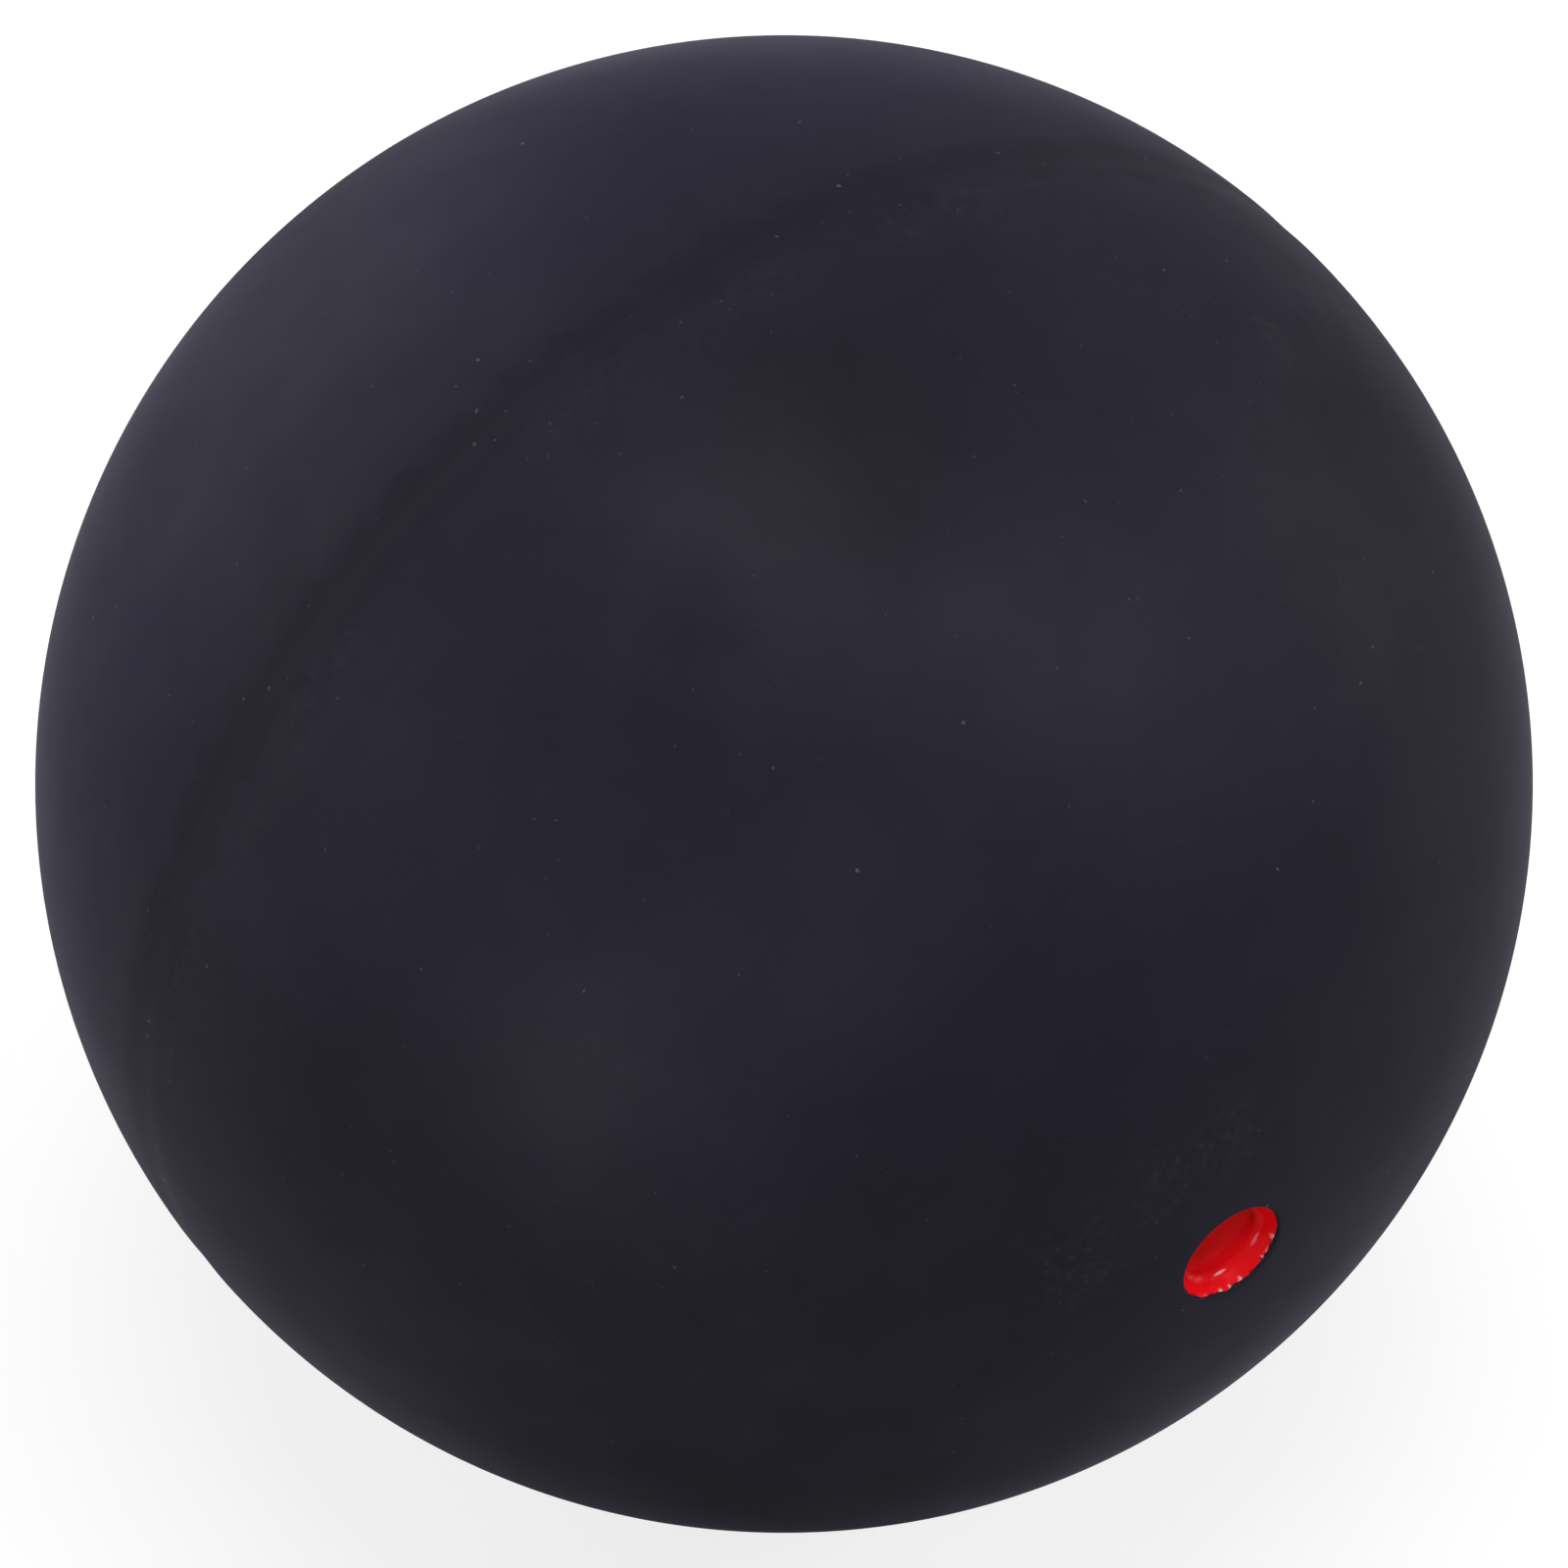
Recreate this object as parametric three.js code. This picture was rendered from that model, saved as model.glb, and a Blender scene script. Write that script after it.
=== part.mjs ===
import * as THREE from 'three';

// A hollow rubber ball, in millimetres. Two moulded half shells are cemented rim to rim,
// and a spot of red enamel lines a moulded pocket at the pole of one of them.
// The origin is the ball's centre and +Z is up. The ball's own axis is Y: the spot
// faces -Y, and the seam lies in the plane y = 0.

// Driving dimensions of the shells
const ballDiameter = 40;
const shellWall = 5.2;

// Driving dimensions of the seam: the coat of cement between the rims, the bead that it
// leaves inside, and the shallow valley that buffing leaves outside
const cementThickness = 0.3;
const beadOverhang = 0.25;
const seamValleyWidth = 1.8;
const seamValleyDepth = 0.025;

// Driving dimensions of the spot: its depth is from the ball's surface to the red floor
const spotDiameter = 3;
const spotDepth = 0.56;
const spotCornerRadius = 0.15;
const enamelThickness = 0.1;
const pocketDraftDegrees = 15;
const lipBevel = 0.07;

// Clearances between pieces
const fitClearance = 0.02;
const beadClearance = 0.1;

// Steps that the round shapes are drawn in
const turnSteps = 64;
const outsideSteps = 15;
const valleySteps = 3;
const cavitySteps = 12;
const beadSteps = 8;
const cornerSteps = 3;

// Worked out from the driving dimensions
const ballRadius = ballDiameter / 2;
const cavityRadius = ballRadius - shellWall;
const rimHeight = cementThickness / 2 + fitClearance;
const valleyHalfAngle = seamValleyWidth / 2 / ballRadius;
const spotRadius = spotDiameter / 2;
const mouthHeight = heightOnSphere(ballRadius, spotRadius);
const pocketDraft = THREE.MathUtils.degToRad(pocketDraftDegrees);
const enamelInside = fitClearance + enamelThickness;
const pocketDepth = spotDepth + enamelInside;
const pocketCornerRadius = spotCornerRadius + enamelInside;

const rubberLook = { color: 0x2b2931, roughness: 0.8, metalness: 0 };
const cementLook = { color: 0x232227, roughness: 0.9, metalness: 0 };
const enamelLook = { color: 0xbe0c12, roughness: 0.2, metalness: 0 };

// The other side of a right triangle in a sphere: how high a point at this radius from
// the axis lies, or how far from the axis a point at this height lies.
function heightOnSphere(sphereRadius, side) {
  return Math.sqrt(sphereRadius ** 2 - side ** 2);
}

// Points of a circle about a centre on the profile plane, from one angle to another.
// Profiles hold a point's distance from the axis and its height along the axis.
function arc(centre, radius, fromAngle, toAngle, steps) {
  const points = [];
  for (let step = 0; step <= steps; step += 1) {
    const angle = THREE.MathUtils.lerp(fromAngle, toAngle, step / steps);
    points.push(new THREE.Vector2(
      centre.x + radius * Math.cos(angle),
      centre.y + radius * Math.sin(angle),
    ));
  }
  return points;
}

// The ball's radius at a latitude: full size, but for the valley along the seam.
function outsideRadius(latitude) {
  const share = Math.min(Math.abs(latitude) / valleyHalfAngle, 1);
  return ballRadius - seamValleyDepth * (1 + Math.cos(Math.PI * share)) / 2;
}

// The outside from the rim, through the valley, up to where a crown begins.
function outsideProfile(crownLatitude) {
  const rimLatitude = Math.asin(rimHeight / ballRadius);
  const rimRadius = heightOnSphere(outsideRadius(rimLatitude), rimHeight);
  const points = [new THREE.Vector2(rimRadius, rimHeight)];
  for (let step = 1; step < valleySteps; step += 1) {
    const latitude = THREE.MathUtils.lerp(rimLatitude, valleyHalfAngle, step / valleySteps);
    const radius = outsideRadius(latitude);
    points.push(new THREE.Vector2(radius * Math.cos(latitude), radius * Math.sin(latitude)));
  }
  const centre = new THREE.Vector2(0, 0);
  return points.concat(arc(centre, ballRadius, valleyHalfAngle, crownLatitude, outsideSteps));
}

// The cavity's wall, from the axis down to the rim.
function cavityProfile() {
  const centre = new THREE.Vector2(0, 0);
  const rimLatitude = Math.asin(rimHeight / cavityRadius);
  const points = arc(centre, cavityRadius, Math.PI / 2, rimLatitude, cavitySteps);
  points[0].x = 0;
  return points;
}

// How far from the axis the pocket's wall lies at a height, before it is drawn in.
function pocketWallRadius(height) {
  return spotRadius - (mouthHeight - height) * Math.tan(pocketDraft);
}

// The pocket's wall, corner and floor, from a height down to the axis. All of it is drawn
// in towards the air by the inset, so that one form serves the rubber and both skins of
// the enamel.
function pocketProfile(topHeight, inset) {
  const cornerRadius = pocketCornerRadius - inset;
  const cornerHeight = mouthHeight - pocketDepth + pocketCornerRadius;
  const cornerCentre = new THREE.Vector2(
    pocketWallRadius(cornerHeight) - pocketCornerRadius / Math.cos(pocketDraft),
    cornerHeight,
  );
  const wallTop = new THREE.Vector2(
    pocketWallRadius(topHeight) - inset / Math.cos(pocketDraft),
    topHeight,
  );
  const corner = arc(cornerCentre, cornerRadius, -pocketDraft, -Math.PI / 2, cornerSteps);
  const floorCentre = new THREE.Vector2(0, cornerHeight - cornerRadius);
  return [wallTop, ...corner, floorCentre];
}

// A closed body turned about the ball's axis, which is also the lathe's axis.
function turned(name, profile, look) {
  const mesh = new THREE.Mesh(
    new THREE.LatheGeometry(profile, turnSteps),
    new THREE.MeshStandardMaterial(look),
  );
  mesh.name = name;
  return mesh;
}

// The half shell without a spot: a plain crown that runs up to the pole.
function plainHalfShell() {
  const outside = outsideProfile(Math.PI / 2);
  outside.at(-1).x = 0;
  return turned('plain_half_shell', [...cavityProfile(), ...outside], rubberLook);
}

// The half shell with the pocket moulded into its pole, and a small bevel round its lip.
function spottedHalfShell() {
  const lipLatitude = Math.acos((spotRadius + lipBevel) / ballRadius);
  const profile = [
    ...cavityProfile(),
    ...outsideProfile(lipLatitude),
    ...pocketProfile(mouthHeight - lipBevel, 0),
  ];
  return turned('spotted_half_shell', profile, rubberLook);
}

// The enamel: a thin dish that lines the pocket up to its bevel.
function redSpot() {
  const topHeight = mouthHeight - lipBevel;
  const outerSkin = pocketProfile(topHeight, fitClearance).reverse();
  const innerSkin = pocketProfile(topHeight, enamelInside);
  return turned('red_spot', [...outerSkin, ...innerSkin], enamelLook);
}

// The cement: a flat coat between the rims, from the valley outside to a round bead that
// was squeezed out into the cavity.
function seamCement() {
  const half = cementThickness / 2;
  const edgeRadius = heightOnSphere(outsideRadius(half / ballRadius), half);
  const beadRadius = half + beadOverhang;
  const beadReach = heightOnSphere(cavityRadius, beadRadius) - beadClearance;
  const beadCentre = new THREE.Vector2(beadReach - beadRadius, 0);
  const neckAngle = Math.asin(half / beadRadius);
  const bead = arc(beadCentre, beadRadius, neckAngle, 2 * Math.PI - neckAngle, beadSteps);
  const profile = [
    new THREE.Vector2(edgeRadius, -half),
    new THREE.Vector2(outsideRadius(0), 0),
    new THREE.Vector2(edgeRadius, half),
    ...bead,
    new THREE.Vector2(edgeRadius, -half),
  ];
  return turned('seam_cement', profile, cementLook);
}

// The spotted half is made with its spot towards +Y, then turned over to face -Y.
const spottedHalf = new THREE.Group();
spottedHalf.rotation.z = Math.PI;
spottedHalf.add(spottedHalfShell(), redSpot());

const ball = new THREE.Group();
ball.add(spottedHalf, seamCement(), plainHalfShell());

export default ball;
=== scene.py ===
"""Looks of a hollow rubber ball: two half shells, the cement between them and a red spot.

Lengths are in metres. The ball's centre is the origin and +Z is up. The ball's own axis
is Y: the spot faces -Y, and the seam lies in the plane y = 0."""

import math

import bmesh
import bpy
import mathutils
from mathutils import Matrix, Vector


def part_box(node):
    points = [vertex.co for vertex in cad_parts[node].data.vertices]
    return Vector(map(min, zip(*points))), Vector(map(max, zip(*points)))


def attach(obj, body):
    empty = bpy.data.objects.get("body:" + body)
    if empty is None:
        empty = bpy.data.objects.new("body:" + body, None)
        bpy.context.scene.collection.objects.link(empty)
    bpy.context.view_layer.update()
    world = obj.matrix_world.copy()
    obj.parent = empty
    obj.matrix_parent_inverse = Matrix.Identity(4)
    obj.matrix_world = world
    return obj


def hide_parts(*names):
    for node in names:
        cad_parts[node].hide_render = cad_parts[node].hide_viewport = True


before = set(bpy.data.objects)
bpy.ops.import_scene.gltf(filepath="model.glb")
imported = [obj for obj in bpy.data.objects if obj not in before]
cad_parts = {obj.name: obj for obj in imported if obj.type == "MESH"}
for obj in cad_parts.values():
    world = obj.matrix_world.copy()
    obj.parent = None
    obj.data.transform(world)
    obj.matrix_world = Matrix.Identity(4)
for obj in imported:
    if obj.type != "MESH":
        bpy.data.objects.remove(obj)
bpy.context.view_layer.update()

MM = 0.001

# Sizes read from the frame
plain_low, plain_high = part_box("plain_half_shell")
cement_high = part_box("seam_cement")[1]
ball_radius = plain_high.y
rim_height = plain_low.y
bead_radius = cement_high.y

# Sizes of the ball that the frame's boxes don't give
shell_wall = 5.2 * MM
seam_valley_width = 1.8 * MM
seam_valley_depth = 0.025 * MM
spot_radius = 1.5 * MM
spot_depth = 0.56 * MM
enamel_thickness = 0.1 * MM
enamel_lip_thickness = 0.015 * MM
pocket_draft = math.radians(15)
fit_clearance = 0.02 * MM
bead_clearance = 0.1 * MM

# The gap that touching pieces keep, and how near to each other points are merged
touch_gap = 0.002 * MM
merge_distance = 0.0002 * MM

# The rounded edges, and the steepest corner that is shaded smooth
lip_rounding = 0.05 * MM
floor_rounding = 0.15 * MM
rounding_steps = 5
round_profile = 0.5
smooth_corner = math.radians(40)

# The side where the enamel's lip is worn, how deep and how wide the bites in it are, their
# mean share of that depth and how far they vary from it, the largest share, and the
# roughness, spacing and layers of their noise
worn_side = (0.3, 0, -0.95)
bite_depth = 0.14 * MM
bite_width = 0.4 * MM
bite_mean = 0.6
bite_variation = 0.7
bite_limit = 0.95
bite_noise = (0.7, 2, 3)

# The slow ripples in the floor of the enamel, and the share of their reach that they fade in
ripple_depth = 0.012 * MM
ripple_width = 0.6 * MM
ripple_reach = 1.1 * MM
ripple_fade = 0.25

# Steps that the round shapes are drawn in
turn_steps = 256
outside_steps = 96
valley_steps = 10
cavity_steps = 32
wall_steps = 12
floor_steps = 12
bead_steps = 12

# Tones of the rubber, the dust and the enamel, as linear red, green and blue, and how much
# of the rubber's own tone the buffed seam keeps. The plain half is a little bluer. The
# enamel's red is given under painted shade and under painted light.
shell_tone = (0.0156, 0.0141, 0.0243)
plain_tone = (0.0167, 0.0149, 0.029)
cement_tone = (0.0147, 0.0135, 0.0225)
dust_tone = (0.092, 0.095, 0.115)
seam_tone = 0.83
sheen_tint = (0.8, 0.78, 1, 1)
# The enamel's red under painted shade, and under painted light
enamel_painted_shade_tone = (0.69, 0.003, 0.004)
enamel_painted_light_tone = (0.93, 0.007, 0.013)
enamel_thin_tone = (0.3, 0.002, 0.003)
# Crumbs whose pale tone is partly a painted glint, and the runs' painted highlight
crumb_and_glint_tone = (0.95, 0.6, 0.6)
painted_highlight_tone = (1, 0.54, 0.56)

# Gloss: the rubber's coat where it is handled less and more, and its share at the bottom of
# the ball, its sheen, and the enamel's coat on its floor and on its wall
rubber_gloss = (0.12, 0.145)
bottom_gloss = 0.5
rubber_gloss_roughness = 0.46
sheen = 0.12
sheen_roughness = 0.28
enamel_gloss = (0.04, 0.1)
enamel_gloss_roughness = 0.12

# Noises: the width of the largest features, the detail and the roughness of each
cloud_noise = (9 * MM, 4, 0.5)
mottle_noise = (0.7 * MM, 3, 0.6)
grain_noise = (0.12 * MM, 4, 0.6)
handled_noise = (2.5 * MM, 5, 0.6)
ragged_noise = (1.2 * MM, 4, 0.65)
patchy_noise = (3.5 * MM, 2, 0.5)
wisp_noise = (0.3 * MM, 6, 0.8)
flow_noise = (0.5 * MM, 2, 0.5)
thin_noise = (0.3 * MM, 3, 0.5)

# The stretches of those noises that are spread out: nearly all, or only their peaks, and
# the middle of a coloured noise
noise_range = (0.3, 0.7)
patchy_range = (0.45, 0.65)
wisp_range = (0.45, 0.7)
thin_range = (0.5, 0.65)
noise_middle = (0.5, 0.5, 0.5)

# Wobbles that break up the edges of marks: width and reach
patch_wobble = (3 * MM, 1.2 * MM)
smear_wobble = (1.5 * MM, 0.8 * MM)
crumb_and_glint_wobble = (0.05 * MM, 0.04 * MM)

# How far clouds and mottle change the rubber's tone, how rough, strong and deep its grain
# is, and where beyond the seam the bluer tone begins and is full
cloud_levels = (0.95, 1.05)
mottle_levels = (0.97, 1.03)
grain_roughness = (0.7, 0.9)
grain_strength = 0.5
grain_depth = 0.004 * MM
bluer_edge = (0.5 * MM, 5 * MM)

# The buffed band: how far from the seam its middle lies, towards the spot, how far its
# ragged edges swing, where it begins and ends to fade, how high on the ball it is full, and
# its share on the lower half
band_offset = 0.2 * MM
band_swing = (-0.35 * MM, 0.35 * MM)
band_edge = (0.4 * MM, 1.05 * MM)
band_full_height = 7 * MM
band_low_share = 0.2

# Smeared dust along the seam: where it begins and is full on either side, how much there is
# at most, how much of it makes the specks as dense as they get, and how strong its wisps are
smear_outer_edge = (-3 * MM, -1.5 * MM)
smear_inner_edge = (-0.7 * MM, -1.2 * MM)
smear_level = 0.4
full_smear = 0.6
wisp_level = 0.2

# Specks of dust: the cell that holds one and its reach, and the share of them that is kept
# on clean and on smeared rubber
big_speck = (0.9 * MM, 0.06 * MM)
big_kept = (0.4, 0.8)
small_speck = (0.4 * MM, 0.05 * MM)
small_kept = (0.22, 0.9)

# Flakes at the seam: cell and reach, how far from the seam they begin and are densest, and
# the share of them that is kept at those two places
seam_flake = (0.6 * MM, 0.08 * MM)
flake_edge = (0.9 * MM, 0.2 * MM)
flakes_kept = (0, 0.6)

# How strong the small specks are, how many reaches of a speck its wobble is wide, and how
# many times smaller than its reach its solid middle is
small_level = 0.5
speck_wobble = 3
speck_softness = 3

# The enamel: the side that its painted light falls on, how far the edge of that painted light
# swings, where the painted light, the painted light on the wall and the wall's gloss begin and
# are full, the depths below the mouth between which the lip gets thin, how rough it is under
# its coat, and how much its marks narrow at their ends
painted_light_side = (0.15, 0, -0.99)
painted_light_swing = (-0.15 * MM, 0.15 * MM)
painted_light_edge = (-0.2 * spot_radius, 0.6 * spot_radius)
painted_light_wall_edge = (1.05 * MM, 1.3 * MM)
gloss_edge = (1.1 * MM, 1.25 * MM)
lip_depths = (0.2 * MM, 0.05 * MM)
enamel_roughness = (0.4, 0.5)
mark_taper = 0.7

# Pale crumbs of enamel on the lip of the spot, partly painted glints, and glossy runs in its
# corner whose pale tone is a painted highlight: first and last angle round the spot, distance
# from its axis, depth below its mouth, reach, and strength
lip_crumbs_and_glints = [
    (-100, -95, 1.46 * MM, 0.12 * MM, 0.11 * MM, 1),
    (-89, -85, 1.46 * MM, 0.13 * MM, 0.09 * MM, 0.8),
    (-76, -70, 1.46 * MM, 0.13 * MM, 0.1 * MM, 1),
    (-43, -39, 1.46 * MM, 0.12 * MM, 0.08 * MM, 0.6),
    (-19, -11, 1.46 * MM, 0.13 * MM, 0.14 * MM, 0.7),
]
corner_highlight_runs = [
    (-99, -77, 1.27 * MM, 0.5 * MM, 0.062 * MM, 1),
    (-41, -17, 1.29 * MM, 0.47 * MM, 0.055 * MM, 0.5),
    (-146, -128, 1.22 * MM, 0.5 * MM, 0.1 * MM, 0.13),
    (-130, -110, 1.24 * MM, 0.51 * MM, 0.09 * MM, 0.12),
]

# Soft patches of painted light and shade on the rubber: azimuth, elevation, reach, and how
# much lighter the rubber is there
painted_light_and_shade_patches = [
    (-49, 23, 7.5 * MM, 0.14),
    (-60, 40, 4 * MM, 0.09),
    (-30, 35, 5 * MM, 0.19),
    (-11, 52, 5 * MM, 0.16),
    (-20, 70, 5 * MM, -0.21),
    (4, 79, 6 * MM, -0.15),
    (-60, 75, 5 * MM, -0.15),
    (-75, 45, 3.5 * MM, 0.07),
    (-150, 60, 6 * MM, 0.1),
    (-107, 50, 9 * MM, -0.11),
    (-85, 35, 5 * MM, -0.06),
    (-70, 10, 5 * MM, -0.1),
    (48, 38, 8 * MM, -0.22),
    (17, 27, 4 * MM, -0.1),
    (-34, -32, 13 * MM, -0.57),
    (-43, 58, 2.2 * MM, -0.15),
    (-47, 51, 2.2 * MM, -0.08),
]

# Patches of smeared dust: azimuth, elevation and reach
smear_patches = [
    (-13, 6, 2.6 * MM),
    (-6, 10, 2.2 * MM),
    (0, 12, 1.8 * MM),
    (72, 40, 1.6 * MM),
    (58, 52, 1.4 * MM),
]

# Lamps: name, azimuth, elevation, size, level on a white face turned to it, and distance
lamps = [
    ("top_softbox", 0, 88, 0.3, 0.55, 0.5),
    ("front_lamp", 33, 38, 0.08, 0.16, 0.45),
    ("front_softbox", 55, 40, 0.12, 0.1, 0.45),
    ("left_lamp", -62, 3, 0.06, 0.17, 0.45),
    ("right_softbox", 80, 8, 0.16, 0.2, 0.45),
    ("rear_softbox", 200, 12, 0.4, 0.62, 0.5),
    ("rear_left_softbox", 250, 12, 0.2, 0.12, 0.5),
]
world_level = 0.2
floor_glow = 0.78
floor_tone = 0.3
floor_size = 4

# The camera's place, and the ball's share of the picture's width
camera_azimuth = -34.45
camera_elevation = 45.99
camera_distance = 9 * ball_radius
sensor_width = 36
ball_share = 0.9553

# Worked out from the sizes above
cavity_radius = ball_radius - shell_wall
valley_half = seam_valley_width / 2
mouth_height = math.sqrt(ball_radius**2 - spot_radius**2)
cement_half = rim_height - fit_clearance


def direction(azimuth, elevation):
    """A unit vector: azimuth 0 is towards -Y and 90 towards +X, in degrees."""
    turn, rise = math.radians(azimuth), math.radians(elevation)
    flat = math.cos(rise)
    return Vector((math.sin(turn) * flat, -math.cos(turn) * flat, math.sin(rise)))


def valley_radius(height):
    """How far from the axis the ball's outside lies at a height within the seam's valley."""
    share = min(abs(height) / valley_half, 1)
    radius = ball_radius - seam_valley_depth * (1 + math.cos(math.pi * share)) / 2
    return math.sqrt(radius**2 - height**2)


def begin_profile(name, radius, height):
    """Starts a new piece as one vertex of its profile, and leaves it in edit mode.

    A profile lies in the XY plane: X is the distance from the ball's axis, and Y is the
    height along it."""
    bpy.ops.object.select_all(action="DESELECT")
    bpy.ops.mesh.primitive_plane_add(size=MM)
    piece = bpy.context.object
    piece.name = name
    piece.data.name = name
    bpy.ops.object.mode_set(mode="EDIT")
    bpy.ops.mesh.select_mode(type="VERT")
    bpy.ops.mesh.select_all(action="SELECT")
    bpy.ops.mesh.merge(type="CENTER")
    bpy.ops.transform.translate(value=(radius, height, 0))
    return piece


def draw_line(radius, height, steps=1):
    """Draws the profile on to a point, in equal steps."""
    mesh = bmesh.from_edit_mesh(bpy.context.object.data)
    pen = next(vertex.co.copy() for vertex in mesh.verts if vertex.select)
    move = (Vector((radius, height, 0)) - pen) / steps
    for _ in range(steps):
        bpy.ops.mesh.extrude_region_move(TRANSFORM_OT_translate={"value": move})


def draw_arc(centre, angle, steps):
    """Draws the profile on along a circle about a centre, anticlockwise if positive."""
    bpy.ops.mesh.spin(steps=steps, angle=-angle, center=(*centre, 0), axis=(0, 0, 1))


def turn_profile(piece):
    """Turns the profile into a closed body about the ball's axis."""
    bpy.ops.object.mode_set(mode="OBJECT")
    lathe = piece.modifiers.new("lathe", "SCREW")
    lathe.axis = "Y"
    lathe.steps = turn_steps
    lathe.render_steps = turn_steps
    lathe.use_merge_vertices = True
    lathe.merge_threshold = merge_distance
    bpy.ops.object.modifier_apply(modifier=lathe.name)
    bpy.ops.object.mode_set(mode="EDIT")
    bpy.ops.mesh.select_all(action="SELECT")
    bpy.ops.mesh.remove_doubles(threshold=merge_distance)


def select_vertices(test):
    """Selects the vertices of the mesh in edit mode whose place passes a test."""
    bpy.ops.mesh.select_all(action="DESELECT")
    mesh = bmesh.from_edit_mesh(bpy.context.object.data)
    for vertex in mesh.verts:
        vertex.select_set(test(vertex.co))
    mesh.select_flush(True)
    bmesh.update_edit_mesh(bpy.context.object.data)


def round_ring(radius, height, rounding):
    """Rounds the edge that runs round the axis at one ring."""

    def on_ring(place):
        off = math.hypot(place.x, place.z) - radius
        return abs(off) < touch_gap and abs(place.y - height) < touch_gap

    select_vertices(on_ring)
    bpy.ops.mesh.bevel(
        offset=rounding, segments=rounding_steps, profile=round_profile, affect="EDGES"
    )


def turn_over():
    """Turns a piece made towards +Y over, so that it faces -Y."""
    bpy.ops.mesh.select_all(action="SELECT")
    bpy.ops.transform.rotate(value=math.pi, orient_axis="Z", center_override=(0, 0, 0))


def finish_piece(piece, node, material):
    """Closes the edit, smooths the shading, gives the piece its material, hangs it under the
    root body and hides the part of model.glb that it replaces.
    """
    bpy.ops.mesh.select_all(action="SELECT")
    bpy.ops.mesh.normals_make_consistent(inside=False)
    bpy.ops.object.mode_set(mode="OBJECT")
    bpy.ops.object.shade_smooth_by_angle(angle=smooth_corner)
    piece.data.materials.clear()
    piece.data.materials.append(material)
    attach(piece, "root")
    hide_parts(node)
    return piece


def draw_half_shell(name, crown_height):
    """Draws a half shell's profile: the cavity, the rim, the valley, and the outside up to
    the height where its crown begins."""
    rim = cement_half + touch_gap
    piece = begin_profile(name, 0, cavity_radius)
    draw_arc((0, 0), math.asin(rim / cavity_radius) - math.pi / 2, cavity_steps)
    draw_line(valley_radius(rim), rim)
    for step in range(1, valley_steps + 1):
        height = rim + (valley_half - rim) * step / valley_steps
        draw_line(valley_radius(height), height)
    crown = math.asin(crown_height / ball_radius)
    draw_arc((0, 0), crown - math.asin(valley_half / ball_radius), outside_steps)
    return piece


def pocket_edges(top_depth, inset):
    """The top of the pocket's wall and the edge of its floor, drawn in by the inset."""
    wall_shift = inset / math.cos(pocket_draft)
    floor_depth = spot_depth + enamel_thickness + touch_gap - inset
    return [
        (spot_radius - wall_shift - depth * math.tan(pocket_draft), mouth_height - depth)
        for depth in (top_depth, floor_depth)
    ]


def make_plain_half_shell(material):
    """The half shell without a spot."""
    piece = draw_half_shell("plain_shell", ball_radius)
    turn_profile(piece)
    return finish_piece(piece, "plain_half_shell", material)


def make_spotted_half_shell(material):
    """The half shell with the pocket for the spot at its pole."""
    mouth, floor_edge = pocket_edges(0, 0)
    piece = draw_half_shell("spotted_shell", mouth_height)
    draw_line(*floor_edge)
    draw_line(0, floor_edge[1])
    turn_profile(piece)
    round_ring(*mouth, lip_rounding)
    round_ring(*floor_edge, floor_rounding)
    turn_over()
    return finish_piece(piece, "spotted_half_shell", material)


def make_seam_cement(material):
    """The cement between the rims, from the valley to the bead inside the cavity."""
    edge = valley_radius(cement_half)
    neck = math.asin(cement_half / bead_radius)
    reach = math.sqrt(cavity_radius**2 - bead_radius**2) - bead_clearance
    bead_centre = reach - bead_radius
    piece = begin_profile("cement_ring", edge, -cement_half)
    draw_line(valley_radius(0), 0)
    draw_line(edge, cement_half)
    draw_line(bead_centre + bead_radius * math.cos(neck), cement_half)
    draw_arc((bead_centre, 0), 2 * (math.pi - neck), bead_steps)
    draw_line(edge, -cement_half)
    turn_profile(piece)
    return finish_piece(piece, "seam_cement", material)


def bite_lip(mesh):
    """Bites the enamel's lip: there the top of its wall slides down the pocket, most on the
    worn side."""
    for vertex in mesh.vertices:
        place = vertex.co
        top = max(1 - (mouth_height + place.y) / bite_depth, 0)
        side = (1 + place.dot(Vector(worn_side)) / spot_radius) / 2
        wave = mathutils.noise.fractal(place / bite_width, *bite_noise)
        share = min(max(bite_mean + bite_variation * wave, 0), bite_limit)
        bite = bite_depth * top * side * share
        drawn_in = 1 - bite * math.tan(pocket_draft) / spot_radius
        vertex.co = (place.x * drawn_in, place.y + bite, place.z * drawn_in)


def ripple_floor(mesh):
    """Gives the enamel's floor the slow ripples of paint that flowed and set."""
    middle_of_skin = spot_depth + enamel_thickness / 2 - mouth_height
    for vertex in mesh.vertices:
        inside = 1 - math.hypot(vertex.co.x, vertex.co.z) / ripple_reach
        if vertex.co.y < middle_of_skin and inside > 0:
            wave = mathutils.noise.noise(vertex.co / ripple_width)
            vertex.co.y += ripple_depth * wave * min(inside / ripple_fade, 1)


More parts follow.
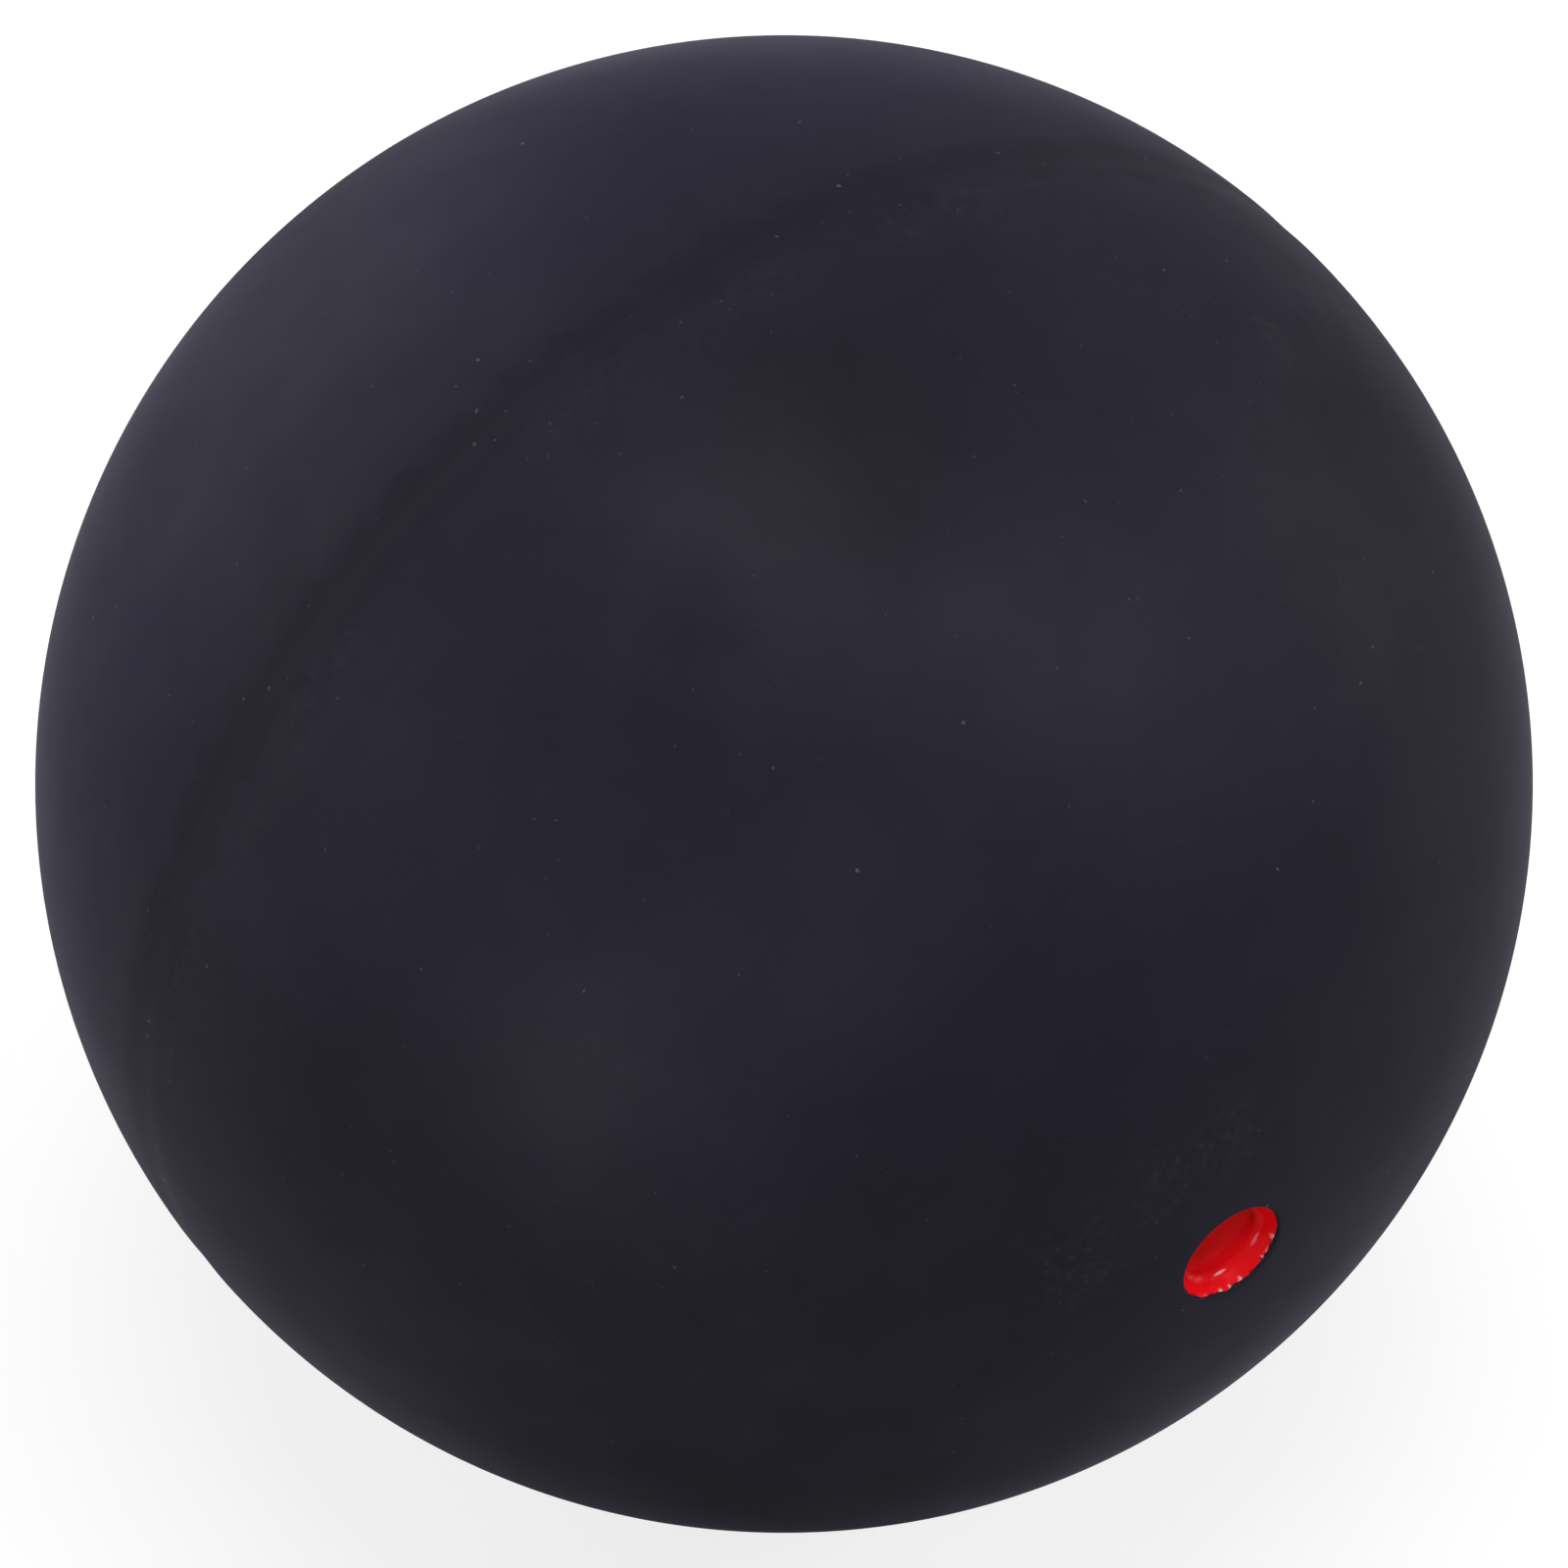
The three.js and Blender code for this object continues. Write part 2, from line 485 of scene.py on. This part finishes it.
def make_red_spot(material):
    """The dish of enamel that lines the pocket, thinned out and ragged at the lip."""
    outer_top, outer_edge = pocket_edges(lip_rounding, touch_gap)
    inner_edge = pocket_edges(0, touch_gap + enamel_thickness)[1]
    inner_top = (outer_top[0] - enamel_lip_thickness, outer_top[1])
    piece = begin_profile("enamel_spot", 0, outer_edge[1])
    draw_line(*outer_edge)
    draw_line(*outer_top, wall_steps)
    draw_line(*inner_top)
    draw_line(*inner_edge, wall_steps)
    draw_line(0, inner_edge[1], floor_steps)
    turn_profile(piece)
    round_ring(*outer_edge, floor_rounding + enamel_thickness)
    round_ring(*inner_edge, floor_rounding)
    turn_over()
    bpy.ops.object.mode_set(mode="OBJECT")
    bite_lip(piece.data)
    ripple_floor(piece.data)
    bpy.ops.object.mode_set(mode="EDIT")
    return finish_piece(piece, "red_spot", material)


def make_node(tree, kind, values=None, links=None, **settings):
    """Adds a shader node with its settings, its sockets' values and its sockets' sources."""
    made = tree.nodes.new(kind)
    for name, value in settings.items():
        setattr(made, name, value)
    for name, value in (values or {}).items():
        made.inputs[name].default_value = value
    for name, source in (links or {}).items():
        tree.links.new(source, made.inputs[name])
    return made


def start_material(name):
    """A new material and its tree of nodes, which is empty."""
    material = bpy.data.materials.new(name)
    material.use_nodes = True
    material.node_tree.nodes.clear()
    return material, material.node_tree


def noise(tree, place, width, detail, roughness):
    """A noise whose largest features are about the given width."""
    values = {"Scale": 1 / width, "Detail": detail, "Roughness": roughness}
    return make_node(tree, "ShaderNodeTexNoise", values, {"Vector": place}).outputs["Fac"]


def ramp(tree, source, start, end, low=0, high=1):
    """Turns a stretch of a value into another range, with soft ends."""
    values = {"From Min": start, "From Max": end, "To Min": low, "To Max": high}
    settings = {"interpolation_type": "SMOOTHSTEP"}
    made = make_node(tree, "ShaderNodeMapRange", values, {"Value": source}, **settings)
    return made.outputs["Result"]


def maths(tree, operation, first, second=0):
    """Joins two values, or a value and a number, by a Math node."""
    made = make_node(tree, "ShaderNodeMath", operation=operation)
    for socket, source in zip(made.inputs, (first, second)):
        if isinstance(source, (int, float)):
            socket.default_value = source
        else:
            tree.links.new(source, socket)
    return made.outputs["Value"]


def vector_maths(tree, operation, first, second=(0, 0, 0), scale=None):
    """Joins two vectors, each a tuple or a source, by a Vector Math node."""
    made = make_node(tree, "ShaderNodeVectorMath", operation=operation)
    for socket, source in zip(made.inputs, (first, second)):
        if isinstance(source, tuple):
            socket.default_value = source
        else:
            tree.links.new(source, socket)
    if scale is not None:
        tree.links.new(scale, made.inputs["Scale"])
    return made


def mix(tree, share, first, second):
    """Mixes two colours, each a tuple or a source, by a share."""
    made = make_node(tree, "ShaderNodeMix", data_type="RGBA")
    sockets = [socket for socket in made.inputs if socket.type == "RGBA"]
    tree.links.new(share, made.inputs["Factor"])
    for socket, colour in zip(sockets, (first, second)):
        if isinstance(colour, tuple):
            socket.default_value = (*colour, 1)
        else:
            tree.links.new(colour, socket)
    return next(socket for socket in made.outputs if socket.type == "RGBA")


def object_place(tree):
    """The place on the piece, which is the place on the ball."""
    return make_node(tree, "ShaderNodeTexCoord").outputs["Object"]


def wobbled(tree, place, width, reach):
    """The place shifted by a noise of the given width, by up to about the reach."""
    values = {"Scale": 1 / width, "Detail": 0}
    texture = make_node(tree, "ShaderNodeTexNoise", values, {"Vector": place})
    middle = vector_maths(tree, "SUBTRACT", texture.outputs["Color"], noise_middle)
    shift = vector_maths(tree, "MULTIPLY", middle.outputs["Vector"], (2 * reach,) * 3)
    return vector_maths(tree, "ADD", place, shift.outputs["Vector"]).outputs["Vector"]


def near_point(tree, place, centre, reach):
    """One at a point of the ball, and zero beyond a reach from it."""
    off = vector_maths(tree, "DISTANCE", place, tuple(centre)).outputs["Value"]
    return ramp(tree, off, reach, 0)


def painted_light_and_clouds(tree, place):
    """How much lighter or darker the rubber is: wide, soft patches of painted light and shade,
    times random clouds of tone.
    """
    place = wobbled(tree, place, *patch_wobble)
    total = 1
    for azimuth, elevation, reach, strength in painted_light_and_shade_patches:
        centre = direction(azimuth, elevation) * ball_radius
        patch = maths(tree, "MULTIPLY", near_point(tree, place, centre, reach), strength)
        total = maths(tree, "ADD", patch, total)
    clouds = ramp(tree, noise(tree, place, *cloud_noise), *noise_range, *cloud_levels)
    return maths(tree, "MULTIPLY", clouds, total)


def buffed_seam(tree, place, height, rise):
    """The darker, ragged band that buffing left along the seam, fainter low on the ball."""
    ragged = ramp(tree, noise(tree, place, *ragged_noise), *noise_range, *band_swing)
    from_middle = maths(tree, "ABSOLUTE", maths(tree, "ADD", height, band_offset))
    edge = maths(tree, "ADD", from_middle, ragged)
    band = ramp(tree, edge, *band_edge, seam_tone - 1, 0)
    strength = ramp(tree, rise, 0, band_full_height, band_low_share, 1)
    band = maths(tree, "MULTIPLY", band, strength)
    return maths(tree, "ADD", band, 1)


def smears(tree, place, height):
    """Where dust is smeared on the rubber: along the seam's spotted side, and in patches."""
    seam = ramp(tree, height, *smear_outer_edge)
    seam = maths(tree, "MULTIPLY", seam, ramp(tree, height, *smear_inner_edge))
    patchy = ramp(tree, noise(tree, place, *patchy_noise), *patchy_range, 0, smear_level)
    total = maths(tree, "MULTIPLY", seam, patchy)
    wobbly = wobbled(tree, place, *smear_wobble)
    for azimuth, elevation, reach in smear_patches:
        centre = direction(azimuth, elevation) * ball_radius
        total = maths(tree, "MAXIMUM", near_point(tree, wobbly, centre, reach), total)
    return total


def specks(tree, place, cell, speck, kept):
    """Specks of dust: one to a cell, cut by the surface, of which a share is kept."""
    place = wobbled(tree, place, speck_wobble * speck, speck)
    texture = make_node(
        tree, "ShaderNodeTexVoronoi", {"Scale": 1 / cell}, {"Vector": place}
    )
    reach = speck / cell
    near = ramp(tree, texture.outputs["Distance"], reach, reach / speck_softness)
    chance = make_node(
        tree, "ShaderNodeSeparateColor", links={"Color": texture.outputs["Color"]}
    )
    present = maths(tree, "LESS_THAN", chance.outputs["Red"], kept)
    strength = maths(tree, "MULTIPLY", near, chance.outputs["Green"])
    return maths(tree, "MULTIPLY", strength, present)


def dust(tree, place, height):
    """How much dust covers the rubber: specks of two sizes, flakes at the seam, and smears."""
    smeared = smears(tree, place, height)
    big = specks(tree, place, *big_speck, ramp(tree, smeared, 0, full_smear, *big_kept))
    small = specks(tree, place, *small_speck, ramp(tree, smeared, 0, full_smear, *small_kept))
    in_seam = ramp(tree, maths(tree, "ABSOLUTE", height), *flake_edge, *flakes_kept)
    flakes = specks(tree, place, *seam_flake, in_seam)
    wisps = ramp(tree, noise(tree, place, *wisp_noise), *wisp_range, 0, wisp_level)
    total = maths(tree, "MAXIMUM", maths(tree, "MULTIPLY", wisps, smeared), flakes)
    total = maths(tree, "MAXIMUM", maths(tree, "MULTIPLY", small, small_level), total)
    return maths(tree, "MAXIMUM", total, big)


def rubber(name, tone):
    """Satin black rubber: soft patches of painted light and shade, clouds of tone, a fine
    moulded grain, a buffed seam and some dust.
    """
    material, tree = start_material(name)
    place = object_place(tree)
    across = make_node(tree, "ShaderNodeSeparateXYZ", links={"Vector": place}).outputs
    height = across["Y"]

    mottle = ramp(tree, noise(tree, place, *mottle_noise), *noise_range, *mottle_levels)
    # Soft patches of painted light and shade, times random clouds of tone
    light_and_clouds = painted_light_and_clouds(tree, place)
    tones = maths(tree, "MULTIPLY", light_and_clouds, mottle)
    seam = buffed_seam(tree, place, height, across["Z"])
    tones = maths(tree, "MULTIPLY", tones, seam)
    bluer = ramp(tree, height, *bluer_edge)
    colour = mix(tree, bluer, tone, plain_tone)
    colour = vector_maths(tree, "SCALE", colour, scale=tones).outputs["Vector"]
    colour = mix(tree, dust(tree, place, height), colour, dust_tone)

    grain = noise(tree, place, *grain_noise)
    handled = ramp(tree, noise(tree, place, *handled_noise), *noise_range, *rubber_gloss)
    upper = ramp(tree, across["Z"], -ball_radius, 0, bottom_gloss, 1)
    # The patches of painted light and shade scale the coat's gloss as well
    handled = maths(tree, "MULTIPLY", handled, light_and_clouds)
    shader = make_node(
        tree,
        "ShaderNodeBsdfPrincipled",
        {
            "Specular IOR Level": 0,
            "Coat Roughness": rubber_gloss_roughness,
            "Sheen Weight": sheen,
            "Sheen Roughness": sheen_roughness,
            "Sheen Tint": sheen_tint,
        },
        {
            "Base Color": colour,
            "Roughness": ramp(tree, grain, *noise_range, *grain_roughness),
            "Coat Weight": maths(tree, "MULTIPLY", handled, upper),
        },
    )
    bump_values = {"Strength": grain_strength, "Distance": grain_depth}
    bump = make_node(tree, "ShaderNodeBump", bump_values, {"Height": grain})
    tree.links.new(bump.outputs["Normal"], shader.inputs["Normal"])
    tree.links.new(bump.outputs["Normal"], shader.inputs["Coat Normal"])
    make_node(
        tree, "ShaderNodeOutputMaterial", links={"Surface": shader.outputs["BSDF"]}
    )
    return material


def near_line(tree, place, start, end, reach):
    """One along a straight line, and zero beyond a reach from it that tapers at its ends."""
    half = (end - start) / 2
    off = vector_maths(tree, "SUBTRACT", place, tuple((start + end) / 2)).outputs["Vector"]
    share = vector_maths(tree, "DOT_PRODUCT", off, tuple(half / half.length_squared))
    share = maths(tree, "MINIMUM", maths(tree, "MAXIMUM", share.outputs["Value"], -1), 1)
    nearest = vector_maths(tree, "SCALE", tuple(half), scale=share).outputs["Vector"]
    away = vector_maths(tree, "DISTANCE", off, nearest).outputs["Value"]
    squared = maths(tree, "MULTIPLY", share, share)
    tapered = maths(tree, "MULTIPLY", squared, mark_taper * reach)
    return ramp(tree, maths(tree, "ADD", away, tapered), reach, 0)


def marks(tree, place, rows):
    """How strong a list of marks is that run round the spot from one angle to another."""
    total = 0
    for first, last, radius, depth, reach, strength in rows:
        start, end = [
            Vector((radius * math.cos(turn), depth - mouth_height, radius * math.sin(turn)))
            for turn in (math.radians(first), math.radians(last))
        ]
        mark = maths(tree, "MULTIPLY", near_line(tree, place, start, end, reach), strength)
        total = maths(tree, "MAXIMUM", mark, total)
    return total


def enamel():
    """Red enamel: painted shade on its upper side and painted light on its low side and wall,
    thin at the lip, and glossy in the corner.
    """
    material, tree = start_material("red_enamel")
    place = object_place(tree)
    across = make_node(tree, "ShaderNodeSeparateXYZ", links={"Vector": place}).outputs
    low = vector_maths(tree, "DOT_PRODUCT", place, painted_light_side).outputs["Value"]
    squares = [maths(tree, "MULTIPLY", across[axis], across[axis]) for axis in ("X", "Z")]
    from_axis = maths(tree, "SQRT", maths(tree, "ADD", *squares))

    flow = noise(tree, place, *flow_noise)
    # Painted shade and light: the red is darker towards the upper side, as the lip's shade on
    # the floor, and lighter towards the low side and on the wall, as painted light
    painted_light = maths(tree, "ADD", low, ramp(tree, flow, *noise_range, *painted_light_swing))
    painted_light = ramp(tree, painted_light, *painted_light_edge)
    painted_light_on_wall = ramp(tree, from_axis, *painted_light_wall_edge)
    painted_light = maths(tree, "MAXIMUM", painted_light, painted_light_on_wall)
    colour = mix(tree, painted_light, enamel_painted_shade_tone, enamel_painted_light_tone)
    lip = ramp(tree, across["Y"], *[depth - mouth_height for depth in lip_depths])
    thin = ramp(tree, noise(tree, place, *thin_noise), *thin_range)
    colour = mix(tree, maths(tree, "MULTIPLY", thin, lip), colour, enamel_thin_tone)
    # Pale crumbs on the lip, partly painted glints
    crumbs_and_glints_place = wobbled(tree, place, *crumb_and_glint_wobble)
    colour = mix(tree, marks(tree, crumbs_and_glints_place, lip_crumbs_and_glints), colour, crumb_and_glint_tone)
    # Painted highlights in the corner, where the runs are also glossier
    highlight_runs = marks(tree, place, corner_highlight_runs)
    colour = mix(tree, highlight_runs, colour, painted_highlight_tone)

    gloss = ramp(tree, from_axis, *gloss_edge, *enamel_gloss)
    shader = make_node(
        tree,
        "ShaderNodeBsdfPrincipled",
        {"Specular IOR Level": 0, "Coat Roughness": enamel_gloss_roughness},
        {
            "Base Color": colour,
            "Roughness": ramp(tree, flow, *noise_range, *enamel_roughness),
            "Coat Weight": maths(tree, "MAXIMUM", gloss, maths(tree, "MULTIPLY", highlight_runs, highlight_runs)),
        },
    )
    make_node(
        tree, "ShaderNodeOutputMaterial", links={"Surface": shader.outputs["BSDF"]}
    )
    return material


def seen_rays(tree):
    """One for rays that show the background to the eye, straight or in a reflection."""
    rays = make_node(tree, "ShaderNodeLightPath").outputs
    mirrored = maths(tree, "MAXIMUM", rays["Is Glossy Ray"], rays["Is Transmission Ray"])
    return maths(tree, "MAXIMUM", rays["Is Camera Ray"], mirrored)


def make_floor():
    """A wide pale floor that the ball rests on and shades."""
    bpy.ops.object.select_all(action="DESELECT")
    bpy.ops.mesh.primitive_plane_add(size=floor_size, location=(0, 0, -ball_radius))
    floor = bpy.context.object
    floor.name = "floor"
    material, tree = start_material("pale_floor")
    diffuse = make_node(tree, "ShaderNodeBsdfDiffuse", {"Color": (*[floor_tone] * 3, 1)})
    strength = maths(tree, "MULTIPLY", seen_rays(tree), floor_glow)
    glow = make_node(tree, "ShaderNodeEmission", links={"Strength": strength})
    both = make_node(tree, "ShaderNodeAddShader")
    tree.links.new(diffuse.outputs["BSDF"], both.inputs[0])
    tree.links.new(glow.outputs["Emission"], both.inputs[1])
    make_node(tree, "ShaderNodeOutputMaterial", links={"Surface": both.outputs["Shader"]})
    floor.data.materials.append(material)


def make_world():
    """A white surround to the eye that lights the ball at a plain, even level."""
    world = bpy.data.worlds.new("studio")
    bpy.context.scene.world = world
    world.use_nodes = True
    tree = world.node_tree
    tree.nodes.clear()
    strength = maths(tree, "MAXIMUM", seen_rays(tree), world_level)
    background = make_node(
        tree, "ShaderNodeBackground", {"Color": (1, 1, 1, 1)}, {"Strength": strength}
    )
    make_node(
        tree, "ShaderNodeOutputWorld", links={"Surface": background.outputs["Background"]}
    )


def make_lamp(name, azimuth, elevation, size, level, distance):
    """A square soft lamp that would light a white face turned to it to the given level."""
    data = bpy.data.lights.new(name, "AREA")
    data.shape = "SQUARE"
    data.size = size
    data.energy = level * math.pi**2 * distance**2
    lamp = bpy.data.objects.new(name, data)
    bpy.context.scene.collection.objects.link(lamp)
    towards = direction(azimuth, elevation)
    lamp.location = towards * distance
    lamp.rotation_mode = "QUATERNION"
    lamp.rotation_quaternion = (-towards).to_track_quat("-Z", "Y")


def make_camera():
    """The camera, at the photograph's angle on the spot and the seam."""
    data = bpy.data.cameras.new("camera")
    data.sensor_width = sensor_width
    outline_slope = ball_radius / math.sqrt(camera_distance**2 - ball_radius**2)
    data.lens = sensor_width * ball_share / 2 / outline_slope
    camera = bpy.data.objects.new("camera", data)
    bpy.context.scene.collection.objects.link(camera)
    back = direction(camera_azimuth, camera_elevation)
    camera.location = back * camera_distance
    camera.rotation_mode = "QUATERNION"
    camera.rotation_quaternion = (-back).to_track_quat("-Z", "Y")
    data.clip_start = ball_radius
    bpy.context.scene.camera = camera


shell_rubber = rubber("shell_rubber", shell_tone)
make_spotted_half_shell(shell_rubber)
make_plain_half_shell(shell_rubber)
make_seam_cement(rubber("cement_rubber", cement_tone))
make_red_spot(enamel())

make_floor()
make_world()
for lamp in lamps:
    make_lamp(*lamp)
make_camera()

bpy.context.scene.view_settings.view_transform = "Standard"
